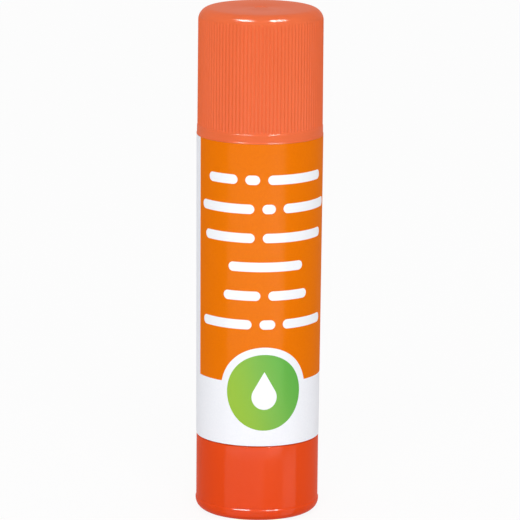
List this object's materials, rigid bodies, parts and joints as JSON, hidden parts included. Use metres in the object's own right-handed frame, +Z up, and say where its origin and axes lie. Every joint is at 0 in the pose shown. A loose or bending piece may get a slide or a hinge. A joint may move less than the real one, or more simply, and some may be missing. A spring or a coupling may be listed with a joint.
{
  "type": "glue stick",
  "caption": "Slim twist-up glue stick: ribbed pull-off cap, labelled barrel, and a turning base that raises the glue on a lead screw.",
  "frame": {"origin": "centre of the underside of the turning base, on the stick's axis", "axes": "+Z up along the stick's axis, from the base to the cap; -Y towards the front of the label"},
  "size_m": [0.0208, 0.0208, 0.084],
  "materials": {
    "cap_plastic": "injection-moulded polypropylene, orange-red, satin gloss, finely ribbed",
    "knob_plastic": "injection-moulded polypropylene, orange-red, smooth gloss",
    "barrel_plastic": "injection-moulded polypropylene, white",
    "label_film": "printed film label, orange on white, satin",
    "inner_plastic": "injection-moulded polypropylene, natural white",
    "glue_wax": "cast glue, off-white, waxy"
  },
  "bodies": {
    "barrel": {"barrel": "barrel_plastic", "label": "label_film"},
    "knob": {"knob": "knob_plastic", "spindle": "inner_plastic"},
    "carrier": {"carrier": "inner_plastic", "glue": "glue_wax"},
    "cap": {"cap": "cap_plastic"}
  },
  "joints": [
    {"name": "knob_turn", "type": "hinge", "parent": "barrel", "child": "knob", "pos_m": [0, 0, 0.0128], "axis": [0, 0, 1], "range_deg": [0, 3600]},
    {"name": "glue_lift", "type": "slide", "parent": "barrel", "child": "carrier", "axis": [0, 0, 1], "range_m": [0, 0.04]},
    {"name": "cap_pull", "type": "slide", "parent": "carrier", "child": "cap", "axis": [0, 0, 1], "range_m": [0, 0.032]}
  ],
  "couplings": [
    {"joint": "glue_lift", "follows": "knob_turn", "m_per_rad": 0.00063662}
  ]
}
